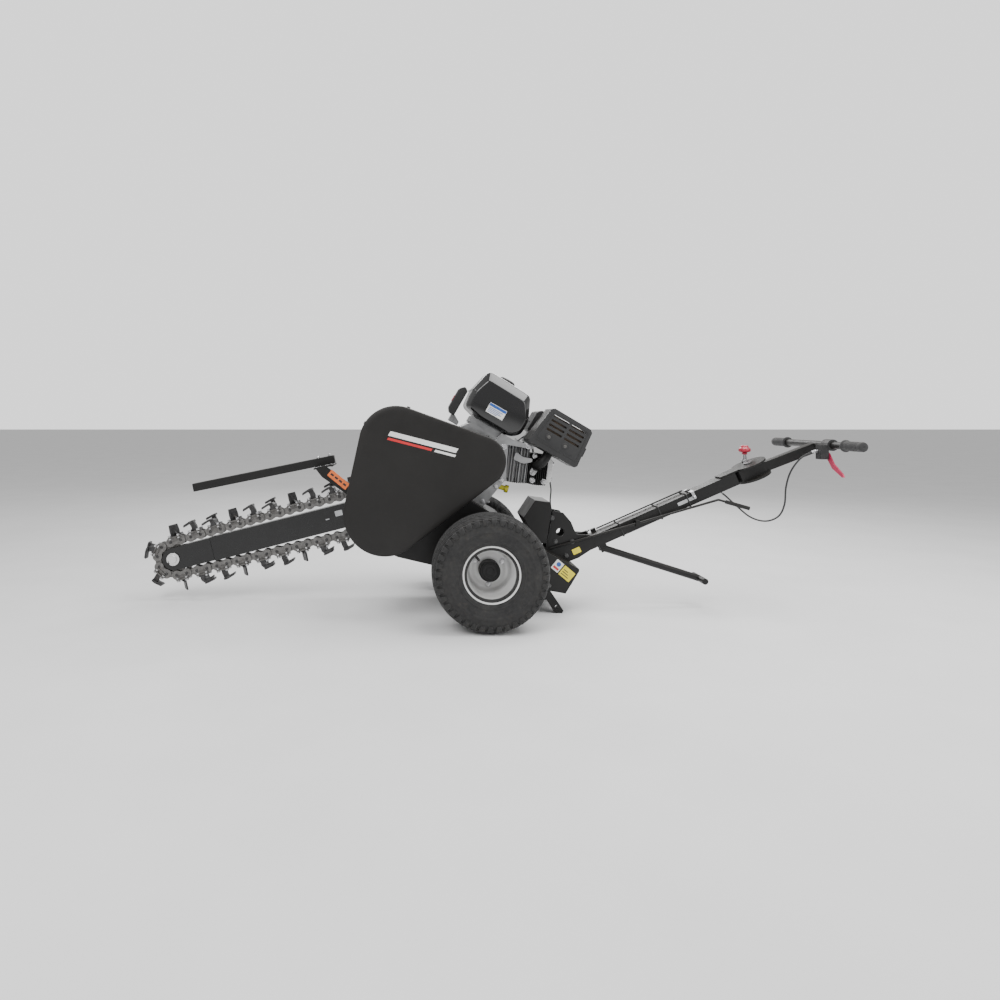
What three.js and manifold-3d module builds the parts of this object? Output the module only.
// Walk-behind chain trencher: engine and belt drive on two wheels, digging boom ahead,
// swivelling handle behind.
// Millimetres, +Z up. The model is laid out with the axle above X = 0, the ground at Z = 0 and the centre
// plane at Y = 0, and the whole group is moved at the end so that its box stands centred on the origin.
import * as THREE from "three";
import { mergeVertices } from "three/addons/utils/BufferGeometryUtils.js";
import Module from "manifold-3d";

const wasm = await Module();
wasm.setup();

const GAP = 0.4;
const DEG = Math.PI / 180;

// Wheels.
const WHEEL_R = 186.5;
const TRACK_HALF = 305;
const TYRE_W = 150;
const RIM_FLANGE_R = 89;
const RIM_FLANGE_Y = 60;
const BARREL_R = 76;
const HUB_R = 34;
const AXLE_R = 12.5;
const AXLE_Z = WHEEL_R;

// Frame.
const PLATE_IN = 144;
const PLATE_T = 6;
const REAR_HALF = 110;
const LEG_Y = 93;
const LEG_SIDE = 30;

// Shafts of the drive, as [x, z].
const CRANK = [-22.5, 532];
const COUNTER = [-301.5, 594];
const HEAD = [-337, 356];
const SHAFT_R = 12.7;
const COVER_RADII = [123, 139, 86];
const COVER_FACE_Y = -235;
const COVER_T = 3;
const BACK_Y = -PLATE_IN - PLATE_T - GAP;

// Digging boom and chain.
const BOOM_Y = 80;
const BOOM_SLOPE = 14.3 * DEG;
const PITCH = 38.1;
const DRIVE_TEETH = 12;
const NOSE_TEETH = 10;
const CHAIN_LINKS = 54;
const LINK_HALF = 18;
const DRIVE_R = PITCH / (2 * Math.sin(Math.PI / DRIVE_TEETH));
const NOSE_R = PITCH / (2 * Math.sin(Math.PI / NOSE_TEETH));
const BOOM_C = 816.5;
const BEAM_H = 88;
const BEAM_W = 44;
const BEAM_START = 92;
const NOSE_SEAM = 668;
const GUARD_SIDE = 30;
const GUARD_PIVOT = [-446, 398];

// Engine, in its own tilted frame: x towards the cylinder, z up, origin on the crank axis.
const ENGINE_TILT = 30 * DEG;
const BASE_DROP = 133;
const CYLINDER_RISE = 23 * DEG;
const CASE_HALF_Y = 78;

// Handle.
const MAST_TILT = 23.8 * DEG;
const MAST_POINT = [673, 353];
const MAST_W = 60;
const MAST_H = 43;
const MAST_FOOT = -405;
const MAST_END = 262;
const SWIVEL_S = 330;
const SWIVEL_R = 60;
const UPPER_SIDE = 34;
const BAR = [1204, 581];
const BAR_R = 12.5;
const BAR_HALF = 262;
const GRIP_HALF = 285;
const GRIP_L = 100;
const GRIP_R = 16;
const LEVER_PIVOT = [1190, -98, 552];
const STAND_PIVOT = [441, 207];
const STAND_L = 364;
const STAND_SLOPE = 17.6 * DEG;
const STAND_R = 12;

// Geometry helpers ----------------------------------------------------------------------------------------

// A closed solid for joining and cutting, from any three.js geometry.
function solid(geometry) {
  let bare = geometry.index ? geometry.toNonIndexed() : geometry.clone();
  bare.deleteAttribute("normal");
  bare.deleteAttribute("uv");
  bare = mergeVertices(bare, 1e-4);
  const vertProperties = new Float32Array(bare.attributes.position.array);
  const triVerts = new Uint32Array(bare.index.array);
  return new wasm.Manifold(new wasm.Mesh({ numProp: 3, vertProperties, triVerts }));
}

function toGeometry(manifold) {
  const mesh = manifold.getMesh();
  const geometry = new THREE.BufferGeometry();
  geometry.setAttribute("position", new THREE.BufferAttribute(mesh.vertProperties, 3));
  geometry.setIndex(new THREE.BufferAttribute(mesh.triVerts, 1));
  return geometry;
}

function join(...geometries) {
  return toGeometry(geometries.map(solid).reduce((sum, piece) => sum.add(piece)));
}

function cut(body, ...tools) {
  return toGeometry(tools.map(solid).reduce((rest, tool) => rest.subtract(tool), solid(body)));
}

function box(x0, x1, y0, y1, z0, z1) {
  const geometry = new THREE.BoxGeometry(x1 - x0, y1 - y0, z1 - z0);
  return geometry.translate((x0 + x1) / 2, (y0 + y1) / 2, (z0 + z1) / 2);
}

// A round bar along Y.
function rodY(x, z, r, y0, y1, sides = 20) {
  return new THREE.CylinderGeometry(r, r, y1 - y0, sides).translate(x, (y0 + y1) / 2, z);
}

// A round bar between two points.
function rod(from, to, r, sides = 12) {
  const a = new THREE.Vector3(...from);
  const b = new THREE.Vector3(...to);
  const geometry = new THREE.CylinderGeometry(r, r, a.distanceTo(b), sides);
  const along = b.clone().sub(a).normalize();
  const turn = new THREE.Quaternion().setFromUnitVectors(new THREE.Vector3(0, 1, 0), along);
  return geometry.applyQuaternion(turn).translate(...a.add(b).multiplyScalar(0.5).toArray());
}

// A tube along a smooth curve through points.
function cable(points, r, steps) {
  const section = new THREE.Shape();
  section.absarc(0, 0, r, 0, 2 * Math.PI);
  const curve = new THREE.CatmullRomCurve3(points.map((p) => new THREE.Vector3(...p)));
  return new THREE.ExtrudeGeometry(section, { steps, curveSegments: 4, extrudePath: curve });
}

// An outline in X and Z, made solid from y0 to y1.
function slab(outline, y0, y1) {
  const shape = new THREE.Shape(outline.map(([x, z]) => new THREE.Vector2(x, z)));
  const geometry = new THREE.ExtrudeGeometry(shape, { depth: y1 - y0, bevelEnabled: false });
  return geometry.rotateX(Math.PI / 2).translate(0, y1, 0);
}

// The outline of a belt round circles [x, z, r] given anticlockwise, with arcs of about `step` degrees.
function beltOutline(circles, grow = 0, step = 15) {
  const tangent = circles.map(([x, z, r], i) => {
    const [nx, nz, nr] = circles[(i + 1) % circles.length];
    const along = Math.atan2(nz - z, nx - x);
    return along - Math.PI / 2 + Math.asin((r - nr) / Math.hypot(nx - x, nz - z));
  });
  const points = [];
  circles.forEach(([x, z, r], i) => {
    const start = tangent[(i + circles.length - 1) % circles.length];
    let sweep = tangent[i] - start;
    while (sweep < 0) sweep += 2 * Math.PI;
    const count = Math.max(1, Math.round(sweep / (step * DEG)));
    for (let k = 0; k <= count; k++) {
      const angle = start + (sweep * k) / count;
      points.push([x + (r + grow) * Math.cos(angle), z + (r + grow) * Math.sin(angle)]);
    }
  });
  return points;
}

// A solid turned about the Y axis through (x, z), from a closed profile of [radius, y].
function turned(profile, x, z, segments) {
  const points = [...profile, profile[0]].map(([r, y]) => new THREE.Vector2(r, y));
  return new THREE.LatheGeometry(points, segments).translate(x, 0, z);
}

const group = new THREE.Group();

const FINISH = {
  paint: { color: 0x2a2928, roughness: 0.5, metalness: 0.3 },
  plastic: { color: 0x2c2c2d, roughness: 0.6, metalness: 0.0 },
  steel: { color: 0x8b8c8e, roughness: 0.4, metalness: 0.9 },
  alloy: { color: 0xb4b5b4, roughness: 0.45, metalness: 0.8 },
  rubber: { color: 0x29292b, roughness: 0.9, metalness: 0.0 },
  tank: { color: 0x121214, roughness: 0.15, metalness: 0.1 },
  rim: { color: 0xc4c5c6, roughness: 0.35, metalness: 0.6 },
  red: { color: 0xab1632, roughness: 0.35, metalness: 0.0 },
  pink: { color: 0xc02d58, roughness: 0.4, metalness: 0.1 },
  yellow: { color: 0xd8cf38, roughness: 0.5, metalness: 0.0 },
};

function add(name, geometry, finish, parent = group) {
  const mesh = new THREE.Mesh(geometry, new THREE.MeshStandardMaterial(FINISH[finish]));
  mesh.name = name;
  parent.add(mesh);
  return mesh;
}

// Wheels and axle -----------------------------------------------------------------------------------------

function wheel(side, y) {
  const out = Math.sign(y);
  const tyre = [
    [90, -57.6], [94, -64], [137, -75], [172, -68], [WHEEL_R, -46], [WHEEL_R, 46], [172, 68], [137, 75], [94, 64],
    [90, 57.6], [BARREL_R + 1, 57.6], [BARREL_R + 1, 44], [137, 63], [172, 40], [172, -40], [137, -63],
    [BARREL_R + 1, -44], [BARREL_R + 1, -57.6],
  ];
  const lip = RIM_FLANGE_Y + 1;
  const rim = [
    [72, -lip], [RIM_FLANGE_R, -lip], [RIM_FLANGE_R, -58], [BARREL_R, -58], [BARREL_R, 58], [RIM_FLANGE_R, 58],
    [RIM_FLANGE_R, lip], [72, lip], [72, -46], [26, -46], [26, -50], [72, -50],
  ];
  const place = (geometry) => (out > 0 ? geometry : geometry.rotateX(Math.PI)).translate(0, y, AXLE_Z);
  add(`${side}_tyre`, place(turned(tyre, 0, 0, 28)), "rubber");
  const hubTube = [rodY(0, 0, 27, -72, -44), rodY(0, 0, 46, -47, -40), rodY(0, 0, HUB_R, -41, 7)];
  const hub = join(turned(rim, 0, 0, 28), ...hubTube);
  add(`${side}_wheel_rim`, place(cut(hub, rodY(0, 0, AXLE_R + GAP, -80, -2, 16))), "rim");
}

wheel("left", -TRACK_HALF);
wheel("right", TRACK_HALF);
add("axle", rodY(0, AXLE_Z, AXLE_R, 4 - TRACK_HALF, TRACK_HALF - 4, 16), "steel");

// Frame ---------------------------------------------------------------------------------------------------

const LOWER_EDGE = [[-462, 330], [-440, 290], [-392, 250], [-340, 222], [-296, 202], [-180, 175], [40, 124]];
const REAR_EDGE = [[150, 98], [215, 150], [150, 235], [30, 330], [8, 357], [-178, 464.5]];

function frame() {
  const highEdge = [[-215, 520], [-235, 650], [-360, 650], [-434, 530], [-458, 404]];
  const left = slab([...LOWER_EDGE, ...REAR_EDGE, ...highEdge], -PLATE_IN - PLATE_T, -PLATE_IN);
  const right = slab([...LOWER_EDGE, ...REAR_EDGE, [-440, 478], [-458, 404]], PLATE_IN, PLATE_IN + PLATE_T);
  const through = (x, z, r) => rodY(x, z, r, -200, 200);
  const axleHole = through(0, AXLE_Z, AXLE_R + GAP);
  const span = PLATE_IN + 1;
  const deck = box(-150, 180, -span, span, -BASE_DROP - 6.5, -BASE_DROP - GAP);
  deck.rotateY(ENGINE_TILT).translate(CRANK[0], 0, CRANK[1]);
  const guardPin = rodY(...GUARD_PIVOT, 8, -span, 19, 12);
  const axleTube = rodY(0, AXLE_Z, 22, -span, span);
  const crossBar = box(58, 98, -span, span, 148, 188);
  const welded = join(left, right, deck, guardPin, axleTube, crossBar);
  const countershaftSeat = rodY(...COUNTER, 30, -200, -100);
  add("chassis", cut(welded, axleHole, through(...HEAD, 30), countershaftSeat), "paint");
}

// A flanged bearing in a side plate; `out` is -1 on the left plate and 1 on the right.
function bearing(name, [x, z], out, depth) {
  const face = PLATE_IN + PLATE_T;
  const inner = PLATE_IN - GAP;
  const profile = [
    [SHAFT_R + GAP, inner - depth], [42, inner - depth], [42, inner], [29.6, inner], [29.6, face],
    [SHAFT_R + GAP, face],
  ];
  const geometry = turned(profile, 0, 0, 20);
  if (out < 0) geometry.rotateX(Math.PI);
  add(name, geometry.translate(x, 0, z), "steel");
}

function rearEnd() {
  const outer = [[118, 262], [99, 110], [232, 77], [283, 68], [330, 145], [330, 153], [214, 214]];
  const inner = [
    [90, 250], [90, 116], [233, 81], [281, 73], [325, 146], [325, 150.5], [212, 209.5], [121, 256],
  ];
  const skin = 4;
  const hollow = slab(inner, -REAR_HALF + skin, REAR_HALF - skin);
  const shell = cut(slab(outer, -REAR_HALF, REAR_HALF), hollow);
  const leg = [[192, 86.4], [247, 0], [270, 0], [276, 9], [231, 76.6]];
  for (const [side, y] of [["left", -LEG_Y], ["right", LEG_Y]]) {
    const hole = rodY(252, 22, 7, y - LEG_SIDE, y + LEG_SIDE, 12);
    add(`${side}_support_leg`, cut(slab(leg, y - LEG_SIDE / 2, y + LEG_SIDE / 2), hole), "paint");
  }
  const boxSide = [[142, 326], [190, 236], [222, 236], [240, 352], [237, 380], [183, 387]];
  add("tool_box", slab(boxSide, -80, 80), "paint");
  const cheek = [
    [226, 200], [300, 160], [345, 178], [402, 215], [395, 258], [336, 262], [318, 305], [290, 338], [255, 345],
  ];
  const cheeks = [-37, 31].map((y) => cut(slab(cheek, y, y + 6), rodY(279, 269, 14, -50, 50, 16)));
  add("rear_frame", join(shell, ...cheeks), "paint");
}

frame();
bearing("head_bearing_left", HEAD, -1, 6);
bearing("head_bearing_right", HEAD, 1, 6);
bearing("counter_bearing", COUNTER, -1, 26);
rearEnd();

// Belt and chain drive under the cover --------------------------------------------------------------------

const BELT_Y = [-220, -206];
const CHAIN_Y = [-187, -177];
const CRANK_PULLEY_R = 52;
const COUNTER_PULLEY_R = 104;
const SMALL_SPROCKET_R = 38;
const LARGE_SPROCKET_R = 116;
const IDLER_ARM_PIVOT = [-110, 430];
const IDLER_PULLEY = [-186.6, 452.8];

function disc(name, [x, z], r, [y0, y1], bore, finish = "steel", sides = 32) {
  add(name, cut(rodY(x, z, r, y0, y1, sides), rodY(x, z, bore, y0 - 1, y1 + 1, 16)), finish);
}

// A loop of belt or chain round two wheels, `half` thick each way about the line through its middle.
function loop(name, circles, half, [y0, y1], finish) {
  const outer = slab(beltOutline(circles, half, 12), y0, y1);
  add(name, cut(outer, slab(beltOutline(circles, -half, 12), y0 - 1, y1 + 1)), finish);
}

function drive() {
  const circles = [[...COUNTER, COVER_RADII[0]], [...HEAD, COVER_RADII[1]], [...CRANK, COVER_RADII[2]]];
  const skin = slab(beltOutline(circles, 0, 9), COVER_FACE_Y, BACK_Y);
  const room = slab(beltOutline(circles, -COVER_T, 9), COVER_FACE_Y + COVER_T, BACK_Y + 1);
  add("drive_cover", cut(skin, room), "paint");
  const back = slab(beltOutline(circles, -COVER_T - GAP, 12), BACK_Y - 3, BACK_Y);
  const bores = [CRANK, HEAD, COUNTER].map(([x, z]) => rodY(x, z, 18, -200, -100, 16));
  const armPin = rodY(...IDLER_ARM_PIVOT, 6, -202, BACK_Y - 1, 12);
  add("drive_back_plate", join(cut(back, ...bores), armPin), "paint");

  const bore = SHAFT_R + GAP;
  add("crankshaft", rodY(...CRANK, SHAFT_R, -226, 116, 16), "steel");
  disc("crank_pulley", CRANK, CRANK_PULLEY_R - 5, [-224, -202], bore);
  const smallSprocket = rodY(...COUNTER, SMALL_SPROCKET_R - 5, -186, -178, 24);
  add("countershaft", join(rodY(...COUNTER, SHAFT_R, -228, -112, 16), smallSprocket), "steel");
  disc("counter_pulley", COUNTER, COUNTER_PULLEY_R - 5, [-224, -202], bore);
  const largeSprocket = rodY(...HEAD, LARGE_SPROCKET_R - 5, -186, -178, 36);
  add("head_shaft", join(rodY(...HEAD, SHAFT_R, -194, PLATE_IN + PLATE_T + 12, 16), largeSprocket), "steel");
  loop("drive_belt", [[...COUNTER, COUNTER_PULLEY_R], [...CRANK, CRANK_PULLEY_R]], 3.5, BELT_Y, "rubber");
  loop("drive_chain", [[...COUNTER, SMALL_SPROCKET_R], [...HEAD, LARGE_SPROCKET_R]], 4, CHAIN_Y, "steel");

  const [px, pz] = IDLER_ARM_PIVOT;
  const [ix, iz] = IDLER_PULLEY;
  const link = slab(beltOutline([[ix, iz, 11], [px, pz, 13]], 0, 30), -200, -194);
  const arm = join(link, rodY(ix, iz, 6, -224, -199, 12));
  add("tension_arm", cut(arm, rodY(px, pz, 6 + GAP, -210, -180, 12)), "steel");
  disc("tension_pulley", IDLER_PULLEY, 22, [-221, -205], 6 + GAP, "plastic", 20);
}

drive();

// Digging boom, built along its own axis: head shaft at the origin, nose towards -x -----------

const boom = new THREE.Group();
boom.position.set(HEAD[0], BOOM_Y, HEAD[1]);
boom.rotation.y = -BOOM_SLOPE;
group.add(boom);

// The point on the chain's pitch line `s` along it from the upper run's nose end, and the outward direction there.
const LEAN = Math.asin((NOSE_R - DRIVE_R) / BOOM_C);
const RUN = BOOM_C * Math.cos(LEAN);
const DRIVE_ARC = DRIVE_R * (Math.PI - 2 * LEAN);
const NOSE_ARC = NOSE_R * (Math.PI + 2 * LEAN);
const LOOP = 2 * RUN + DRIVE_ARC + NOSE_ARC;

function chainPoint(s) {
  const at = ((s % LOOP) + LOOP) % LOOP;
  const top = Math.PI / 2 - LEAN;
  const spot = (cx, r, angle, slide) => ({
    x: cx + r * Math.cos(angle) + slide * Math.sin(angle),
    z: r * Math.sin(angle) - slide * Math.cos(angle),
    angle,
  });
  if (at < RUN) return spot(-BOOM_C, NOSE_R, top, at);
  if (at < RUN + DRIVE_ARC) return spot(0, DRIVE_R, top - (at - RUN) / DRIVE_R, 0);
  if (at < 2 * RUN + DRIVE_ARC) return spot(0, DRIVE_R, -top, at - RUN - DRIVE_ARC);
  return spot(-BOOM_C, NOSE_R, -top - (at - 2 * RUN - DRIVE_ARC) / NOSE_R, 0);
}

// Cutters in the chain's own directions: x along the chain towards the head, z outwards.
const CUTTERS = {
  plate: () => [
    box(-3, 3, -23, 23, 18, 62).rotateZ(-27 * DEG),
  ],
  single: () => [
    box(-9, 9, -11, 11, 18, 52),
    box(-30, 12, -16, 16, 50, 58).rotateY(-8 * DEG),
  ],
  double: () => [
    box(-9, 9, -26, 26, 18, 44),
    box(-32, 8, -34, -8, 40, 47).rotateY(-12 * DEG),
    box(-26, 14, 8, 34, 52, 59).rotateY(-6 * DEG),
    box(-8, 8, 12, 24, 40, 54),
  ],
};
const CUTTER_ORDER = ["plate", "single", "double"];
const CUTTER_STEP = 2;
const FIRST_CUTTER = 24;

function diggingChain() {
  const circles = [[-BOOM_C, 0, NOSE_R], [0, 0, DRIVE_R]];
  const band = slab(beltOutline(circles, LINK_HALF, 15), -17, 17);
  let chain = solid(cut(band, slab(beltOutline(circles, -LINK_HALF, 15), -20, 20)));
  for (let i = 0; i < CHAIN_LINKS / CUTTER_STEP; i++) {
    const { x, z, angle } = chainPoint(FIRST_CUTTER + (i * CUTTER_STEP * LOOP) / CHAIN_LINKS);
    const pieces = [box(-24, 24, -28, 28, 13, 19), ...CUTTERS[CUTTER_ORDER[i % CUTTER_ORDER.length]]()];
    for (const piece of pieces) {
      chain = chain.add(solid(piece.rotateY(Math.PI / 2 - angle).translate(x, 0, z)));
    }
  }
  add("digging_chain", toGeometry(chain), "steel", boom);
}

function boomBeam() {
  const half = BEAM_H / 2;
  const wide = BEAM_W / 2;
  const wall = 5;
  const tube = cut(
    box(-NOSE_SEAM, -BEAM_START, -wide, wide, -half, half),
    box(-NOSE_SEAM - 1, -BEAM_START + 1, -wide + wall, wide - wall, -half + wall, half - wall),
  );
  const reach = PLATE_IN - GAP;
  add("boom_beam", join(tube, rodY(-118, 0, 17, -reach - BOOM_Y, reach - BOOM_Y)), "paint", boom);

  const seam = -NOSE_SEAM - GAP;
  const nose = [[seam, 42]];
  for (let angle = 90; angle <= 270; angle += 15) {
    nose.push([-BOOM_C + 41 * Math.cos(angle * DEG), 41 * Math.sin(angle * DEG)]);
  }
  const head = slab([...nose, [seam, -42]], -wide, wide);
  const bar = box(seam - 5, seam + 110, -wide + wall + 1, wide - wall - 1, -half + wall + 1, half - wall - 1);
  const slot = box(-BOOM_C - 60, -BOOM_C + 52, -12.4, 12.4, -60, 60);
  add("nose_yoke", cut(join(head, bar), slot, rodY(-BOOM_C, 0, 8 + GAP, -40, 40, 12)), "paint", boom);
  const bolt = join(
    rodY(-BOOM_C, 0, 8, -wide - 6, wide + 10, 12),
    rodY(-BOOM_C, 0, 16.6, -wide - 14, -wide - 4, 6),
    rodY(-BOOM_C, 0, 24, -wide - 5, -wide - GAP, 16),
  );
  add("nose_bolt", bolt, "steel", boom);
  const idler = cut(rodY(-BOOM_C, 0, 43, -11.6, 11.6, 30), rodY(-BOOM_C, 0, 8 + GAP, -20, 20, 12));
  add("nose_idler", idler, "steel", boom);
  const sprocket = cut(rodY(0, 0, 55, -7, 7, 36), rodY(0, 0, SHAFT_R + GAP, -20, 20, 16));
  add("digging_sprocket", sprocket, "steel", boom);
}

function guard() {
  const [px, pz] = GUARD_PIVOT;
  const arm = [
    [px + 18, pz + 8], [px - 118, pz + 105], [px - 154, pz + 97], [px - 128, pz + 64], [px - 12, pz - 18],
    [px + 12, pz - 16],
  ];
  const plate = slab([[-604, 487.5], [-530, 502.5], [-530, 507.5], [-604, 492.5]], 6, 100);
  const bore = rodY(px, pz, 8 + GAP, 0, 30, 12);
  add("guard_arm", cut(join(slab(arm, 6, 16), plate), bore), "paint");
  const slope = 11.5 * DEG;
  const bar = box(-533, 0, -GUARD_SIDE / 2, GUARD_SIDE / 2, -GUARD_SIDE / 2, GUARD_SIDE / 2);
  const hollow = box(-540, -10, -12, 12, -12, 12);
  const tube = cut(bar, hollow).rotateY(-slope).translate(-535, BOOM_Y, 523);
  add("guard_bar", tube, "paint");
}

diggingChain();
boomBeam();
guard();

// Engine --------------------------------------------------------------------------------------------------

const engine = new THREE.Group();
engine.position.set(CRANK[0], 0, CRANK[1]);
engine.rotation.y = ENGINE_TILT;
group.add(engine);

const barrel = new THREE.Group();
barrel.rotation.y = -CYLINDER_RISE;
engine.add(barrel);

// A block with cooling fins across x.
function finned(x0, x1, [y0, y1], [z0, z1], count) {
  const pitch = (x1 - x0) / count;
  const fins = [];
  for (let i = 0; i < count; i++) {
    const x = x0 + pitch * i;
    fins.push(box(x, x + pitch * 0.35, y0 - 14, y1 + 12, z0 - 12, z1 + 12));
  }
  return join(box(x0, x1, y0, y1, z0, z1), ...fins);
}

function engineBlock() {
  const base = -BASE_DROP;
  const outline = [[-112, base], [104, base], [116, -60], [125, -12], [70, 102], [-80, 102], [-110, 60]];
  const inner = [[-100, base + 12], [94, base + 12], [104, -60], [112, -14], [62, 90], [-74, 90], [-98, 56]];
  const hollow = slab(inner, -CASE_HALF_Y + 12, CASE_HALF_Y + 2);
  const shell = cut(slab(outline, -CASE_HALF_Y, CASE_HALF_Y), hollow);
  const fins = finned(102, 187, [-46, 46], [-54, 50], 8).rotateY(-CYLINDER_RISE);
  const lug = [[15, 62], [50, 58], [66, 96], [150, 126], [150, 138], [74, 121], [30, 121]];
  const mounts = [slab(lug, -98, -CASE_HALF_Y + 1), box(-88, 50, -66, 70, 101, 123.5)];
  const crankBore = rodY(0, 0, SHAFT_R + GAP, -90, 90, 16);
  add("engine_block", cut(join(shell, fins, ...mounts), crankBore), "alloy", engine);
  add("cylinder_head", finned(188, 256, [-46, 46], [-54, 30], 6), "paint", barrel);
  const lid = [[256.6, -58], [268, -58], [275, -48], [275, 20], [268, 31], [256.6, 31]];
  add("rocker_cover", slab(lid, -44, 44), "alloy", barrel);
  const dipstick = join(rod([123, -20, -46], [150, -20, -40], 9), rod([146, -20, -41], [158, -20, -38], 14));
  add("oil_dipstick", dipstick, "yellow", engine);
}

function fuelSystem() {
  const outline = [
    [-128, 140], [-70, 124], [60, 124], [91, 150], [91, 203], [54, 284], [-114, 290], [-134, 204],
  ];
  const inner = [
    [-123, 143], [-69, 128], [59, 128], [87, 152], [87, 202], [51, 280], [-111, 286], [-130, 204],
  ];
  const neck = new THREE.CylinderGeometry(19, 19, 20, 20).rotateX(Math.PI / 2).translate(-30, 50, 288);
  add("fuel_tank", cut(slab(outline, -120, 110), slab(inner, -116, 106), neck), "tank", engine);
  const cap = new THREE.CylinderGeometry(27, 30, 20, 20).rotateX(Math.PI / 2).translate(-30, 50, 298.6);
  const plug = new THREE.CylinderGeometry(18, 18, 14, 20).rotateX(Math.PI / 2).translate(-30, 50, 283);
  add("fuel_cap", join(cap, plug), "plastic", engine);
  const lid = [[112, 182], [246, 182], [250, 190], [250, 254], [236, 268], [124, 268], [112, 256]];
  add("air_cleaner", slab(lid, -18, 118), "plastic", engine);
  add("carburettor", box(122, 168, -8, 50, 140, 181.5), "alloy", engine);
}

function exhaust() {
  const outline = [
    [113, 148], [120, 141], [295, 141], [302, 150], [290, 272], [280, 281], [140, 283], [130, 276],
  ];
  const inner = [
    [117, 149], [122, 145], [293, 145], [298, 151], [286.5, 270], [278, 277], [141, 279], [133.5, 274],
  ];
  let shell = cut(slab(outline, -150, -30), slab(inner, -146, -28));
  const row = 17;
  for (let i = 0; i < 4; i++) {
    for (const x of [148, 216]) {
      shell = cut(shell, box(x, x + 58, -152, -140, 206 + i * row, 213 + i * row));
    }
  }
  add("muffler_guard", cut(shell, rod([206, -85, 130], [206, -85, 150], 20)), "paint", engine);
  const muffler = slab([[140, 154], [276, 154], [276, 258], [262, 264], [150, 264], [140, 254]], -134, -46);
  const route = [
    [206, -85, 160], [206, -85, 135], [206, -86, 112], [200, -80, 92], [196, -64, 84], [196, -62, 84],
  ];
  add("muffler", join(muffler, cable(route, 14, 12)), "steel", engine);
}

function starter() {
  const shell = [
    [112, CASE_HALF_Y + GAP], [120, CASE_HALF_Y + 6], [120, 118], [104, 136], [34, 142], [34, 138], [102, 132.5],
    [116, 116.5], [116, CASE_HALF_Y + 6], [108, CASE_HALF_Y + GAP],
  ];
  add("recoil_housing", turned(shell, 0, 0, 28), "paint", engine);
  const fan = cut(rodY(0, 0, 100, 90, 112, 28), rodY(0, 0, SHAFT_R + GAP, 80, 120, 16));
  add("flywheel_fan", fan, "steel", engine);
}

engineBlock();
fuelSystem();
exhaust();
starter();

// Handle --------------------------------------------------------------------------------------------------

const mast = new THREE.Group();
mast.position.set(MAST_POINT[0], 0, MAST_POINT[1]);
mast.rotation.y = -MAST_TILT;
group.add(mast);

// An outline in X and Y, made solid from z0 to z1.
function plate(outline, z0, z1) {
  const shape = new THREE.Shape(outline.map(([x, y]) => new THREE.Vector2(x, y)));
  return new THREE.ExtrudeGeometry(shape, { depth: z1 - z0, bevelEnabled: false }).translate(0, 0, z0);
}

function rodZ(x, y, r, z0, z1, sides = 16) {
  return new THREE.CylinderGeometry(r, r, z1 - z0, sides).rotateX(Math.PI / 2).translate(x, y, (z0 + z1) / 2);
}

const THROTTLE_Y = 24;
const PLUNGER = [972.5, 46];
const PLUNGER_R = 5;
const PIN_R = 9;

// World coordinates, as the mast's own.
function inMast(geometry) {
  return geometry.translate(-MAST_POINT[0], 0, -MAST_POINT[1]).rotateY(MAST_TILT);
}

const ROD_FOOT = [240, -45, 211.8];
const ROD_KINK = [838, -45, 385.2];

// What is welded to the mast: the shift rod's guide, the throttle lever's pivot, the throttle cable's stop and
// the two ears and pin that carry the parking stand.
function mastFittings() {
  const top = MAST_H / 2 + GAP;
  const guide = cut(box(544, 558, -52, -29, 292, 313), rod(ROD_FOOT, ROD_KINK, 4 + GAP, 10));
  const pivot = [rodZ(92, 0, 4, top - 2, top + 7, 12), rodZ(92, 0, 9, top + 4 + GAP, top + 7, 12)];
  const bore = rod([-290, THROTTLE_Y, top + 6], [-250, THROTTLE_Y, top + 6], 3 + GAP, 8);
  const stop = cut(box(-284, -266, THROTTLE_Y - 8, THROTTLE_Y + 4, top - 1, top + 12), bore);
  const [s, h] = [-271.2, -40];
  const ears = [-18, 14].map((y) => box(s - 13, s + 13, y, y + 4, h - 10, 1 - MAST_H / 2));
  return [inMast(guide), ...pivot, stop, ...ears, rodY(s, h, 5, -19, 19, 12)];
}

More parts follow.
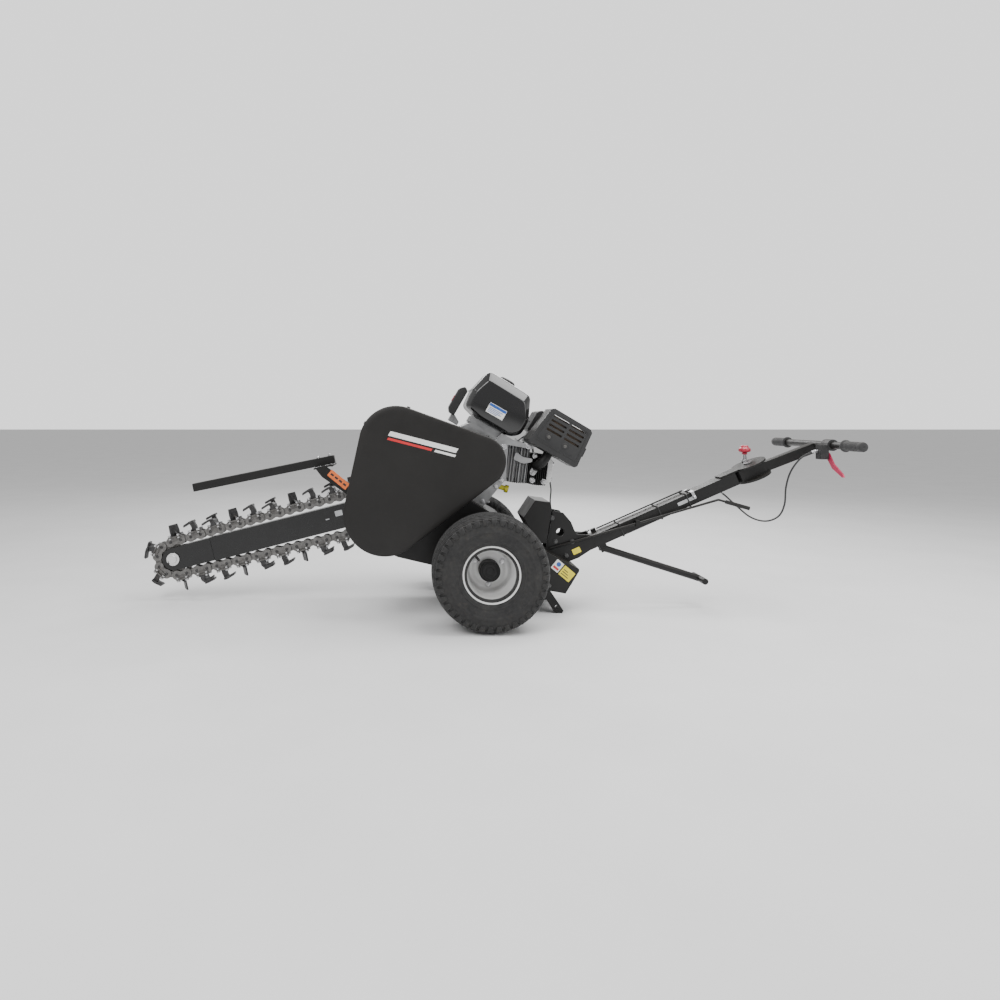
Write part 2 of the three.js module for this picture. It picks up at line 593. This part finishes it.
function mastTube() {
  const half = MAST_H / 2;
  const wide = MAST_W / 2;
  const tube = cut(
    box(MAST_FOOT, MAST_END, -wide, wide, -half, half),
    box(MAST_FOOT - 1, MAST_END + 1, -wide + 3, wide - 3, -half + 3, half - 3),
  );
  const top = half + GAP;
  const tongue = box(SWIVEL_S - 120, SWIVEL_S, -27, 27, top, top + 6);
  const plunger = inMast(rod([...PLUNGER, 440], [...PLUNGER, 560], PLUNGER_R + GAP));
  const topPlate = join(tongue, rodZ(SWIVEL_S, 0, SWIVEL_R, top, top + 6, 32));
  const swivelPlate = cut(topPlate, rodZ(SWIVEL_S, 0, PIN_R + GAP, 0, 60), plunger);
  const pad = box(SWIVEL_S - 120, MAST_END, -27, 27, top - 1, top + 1);
  add("mast_tube", join(tube, pad, swivelPlate, ...mastFittings()), "paint", mast);
  const pinHead = rodZ(SWIVEL_S, 0, 15, top + 6 + GAP, top + 12, 6);
  const pin = join(rodZ(SWIVEL_S, 0, PIN_R, -half - 12, top + 10), pinHead);
  add("swivel_pin", pin, "steel", mast);

  const socket = [[276, -wide], [372, -wide], [372, wide], [276, wide], [268, 15], [266.5, 0], [268, -15]];
  const indexDisc = rodZ(SWIVEL_S, 0, SWIVEL_R, -half - 6.4, -half + 0.5, 32);
  const socketDisc = join(plate(socket, -half, half), indexDisc);
  const swivel = cut(socketDisc, rodZ(SWIVEL_S, 0, PIN_R + GAP, -60, 40));

  const side = UPPER_SIDE / 2;
  const upper = box(0, 260, -side, side, -side, side).rotateY(-21.1 * DEG).translate(1017.5, 0, 499);
  const beyond = box(BAR[0], BAR[0] + 200, -90, 90, 300, 800);
  const bar = rodY(...BAR, BAR_R, -BAR_HALF, BAR_HALF, 20);
  add("upper_handle", join(inMast(cut(upper, beyond)), inMast(bar), swivel), "paint", mast);
}

function handlebar() {
  for (const [side, out] of [["left", -1], ["right", 1]]) {
    const [y0, y1] = out < 0 ? [-GRIP_HALF, -GRIP_HALF + GRIP_L] : [GRIP_HALF - GRIP_L, GRIP_HALF];
    const bore = rodY(...BAR, BAR_R + GAP, -BAR_HALF - 1, BAR_HALF + 1, 16);
    add(`${side}_grip`, cut(rodY(...BAR, GRIP_R, y0, y1, 20), bore), "rubber");
  }
  const [lx, ly, lz] = LEVER_PIVOT;
  const clamp = join(
    rodY(...BAR, 20, ly - 17, ly + 26, 20), box(lx - 26, lx + 1.4, ly - 14, ly + 20, lz - 20, lz + 30),
    rod([lx, ly, lz - 6], [lx + 9, ly, lz - 6], 4), rod([lx + 7.8, ly, lz - 6], [lx + 11, ly, lz - 6], 7),
  );
  add("lever_perch", cut(clamp, rodY(...BAR, BAR_R + GAP, -200, 0, 16)), "plastic");
  const blade = [
    [ly + 8, lz + 1], [ly - 4, lz + 5], [ly - 14, lz - 2], [ly - 40, lz - 34], [ly - 92, lz - 66], [ly - 97, lz - 76],
    [ly - 88, lz - 77], [ly - 30, lz - 50], [ly - 2, lz - 20], [ly + 9, lz - 10],
  ];
  const flat = plate(blade.map(([y, z]) => [y, z]), 0, 5);
  const upright = new THREE.Matrix4().set(0, 0, 1, lx + 2, 1, 0, 0, 0, 0, 1, 0, 0, 0, 0, 0, 1);
  const pivotHole = rod([lx, ly, lz - 6], [lx + 9, ly, lz - 6], 4 + GAP);
  add("clutch_lever", cut(flat.applyMatrix4(upright), pivotHole), "pink");
}

function controls() {
  const [x, y] = PLUNGER;
  const knob = [
    rod([x, y, 541], [x, y, 550], 9), rod([x, y, 549], [x, y, 566], 21, 20), rod([x, y, 565], [x, y, 575], 13, 20),
  ];
  add("lock_plunger", join(...knob, rod([x, y, 466], [x, y, 555], PLUNGER_R)), "red");

  const tip = [941, -60, 356];
  const sleeve = rod([862, -48.5, 378.4], tip, 7, 10);
  add("shift_rod", join(rod(ROD_FOOT, ROD_KINK, 4, 10), rod(ROD_KINK, tip, 4, 10), sleeve), "paint");

  const top = MAST_H / 2 + GAP;
  const lever = join(
    box(86, 98, -42, 26, top, top + 4), box(87, 97, -42, -38, 4, top + 2),
    new THREE.SphereGeometry(7, 12, 8).translate(92, -41, 4),
  );
  add("throttle_lever", cut(lever, rodZ(92, 0, 4 + GAP, 0, 60, 12)), "steel", mast);
  add("throttle_rod", rod([-262, THROTTLE_Y, top + 6], [80, THROTTLE_Y, top + 6], 3, 8), "paint", mast);
}

function stand() {
  const [px, pz] = STAND_PIVOT;
  const end = [px + STAND_L * Math.cos(STAND_SLOPE), 0, pz - STAND_L * Math.sin(STAND_SLOPE)];
  const near = [px - 12 * Math.cos(STAND_SLOPE), 0, pz + 12 * Math.sin(STAND_SLOPE)];
  const tube = cut(rod(near, end, STAND_R, 16), rodY(px, pz, 5 + GAP, -30, 30, 12));
  add("parking_stand", join(tube, rodY(end[0], end[2], 11, -55, 55, 16)), "paint");
}

const CLUTCH_LOOP = [
  [1163, -92, 560], [1145, -90, 557], [1110, -78, 532], [1085, -62, 485], [1074, -52, 430], [1074, -42, 369],
  [1059, -30, 325], [1018, -20, 306], [968, -10, 319], [918, 0, 362], [880, 6, 398], [864, 10, 406],
];
const CLUTCH_RUN = [
  [860, 12, 405], [780, 20, 370], [600, 24, 290], [450, 24, 222], [330, 24, 170],
];
const THROTTLE_CABLE = [
  [250, 4, 446], [254, 4, 415], [251, 2, 374], [257, 2, 335], [272, 6, 300], [300, 12, 272], [340, 20, 256],
  [375, 24, 260], [397, 24, 267],
];

function cables() {
  add("clutch_cable_loop", cable(CLUTCH_LOOP, 3, 36), "rubber");
  add("clutch_cable_run", cable(CLUTCH_RUN, 3, 14), "rubber");
  add("throttle_cable", cable(THROTTLE_CABLE, 2.5, 18), "rubber");
}

mastTube();
handlebar();
controls();
stand();
cables();

// The whole machine, standing on z = 0 with its box centred over the origin.
group.updateMatrixWorld(true);
const bounds = new THREE.Box3().setFromObject(group, true);
group.position.set(-(bounds.min.x + bounds.max.x) / 2, -(bounds.min.y + bounds.max.y) / 2, -bounds.min.z);

export default group;
